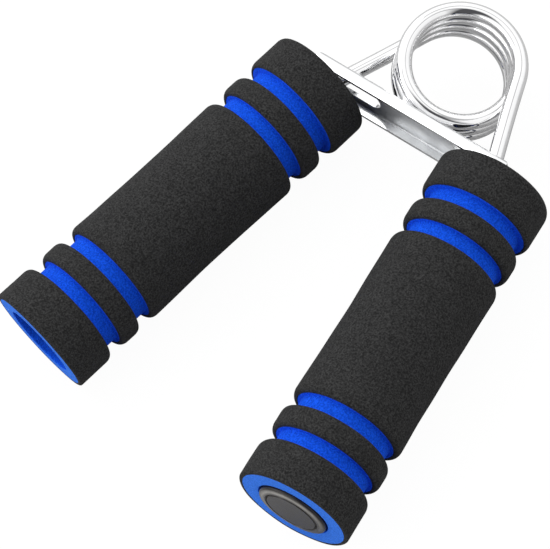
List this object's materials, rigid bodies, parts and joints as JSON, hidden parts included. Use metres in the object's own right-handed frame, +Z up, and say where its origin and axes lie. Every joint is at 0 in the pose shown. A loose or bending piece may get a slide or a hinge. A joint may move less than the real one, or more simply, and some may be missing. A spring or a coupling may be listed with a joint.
{
  "type": "hand_grip_strengthener",
  "caption": "Hand grip strengthener: black and blue banded foam handles on a chrome torsion spring, legs held in a slotted pressed steel channel.",
  "frame": {"origin": "under the middle of the grip as it lies flat on its handles", "axes": "+Y from the handles' free ends to the coil, +Z up, square to the plane of the two handles, +X to the right handle"},
  "size_m": [0.126, 0.1562, 0.0346],
  "materials": {
    "spring_chrome": "polished chrome plated round wire",
    "bracket_chrome": "polished chrome plated sheet",
    "black_foam": "matt fine-celled foam",
    "blue_foam": "matt fine-celled foam",
    "core_plastic": "moulded, matt",
    "plug_plastic": "moulded, glossy"
  },
  "bodies": {
    "spring_frame": {"channel_bracket": "bracket_chrome", "torsion_spring": "spring_chrome"},
    "left_handle": {"left_foam_sleeve": "blue_foam", "left_core": "core_plastic", "left_end_plug": "plug_plastic", "left_top_band": "black_foam", "left_upper_ring_band": "black_foam", "left_palm_band": "black_foam", "left_lower_ring_band": "black_foam", "left_end_band": "black_foam"},
    "right_handle": {"right_foam_sleeve": "blue_foam", "right_core": "core_plastic", "right_end_plug": "plug_plastic", "right_top_band": "black_foam", "right_upper_ring_band": "black_foam", "right_palm_band": "black_foam", "right_lower_ring_band": "black_foam", "right_end_band": "black_foam"}
  },
  "joints": [
    {"name": "left_squeeze", "type": "hinge", "parent": "spring_frame", "child": "left_handle", "pos_m": [0, 0.05921, 0.0173], "axis": [0, 0, 1], "range_deg": [0, 11.5], "stiffness_Nm_per_rad": 18, "springref_deg": -8.59, "deforming": ["torsion_spring"]},
    {"name": "right_squeeze", "type": "hinge", "parent": "spring_frame", "child": "right_handle", "pos_m": [0, 0.05921, 0.0173], "axis": [0, 0, 1], "range_deg": [-11.5, 0], "stiffness_Nm_per_rad": 18, "springref_deg": 8.59, "deforming": ["torsion_spring"]}
  ],
  "couplings": [
    {"joint": "right_squeeze", "follows": "left_squeeze", "ratio": -1}
  ]
}
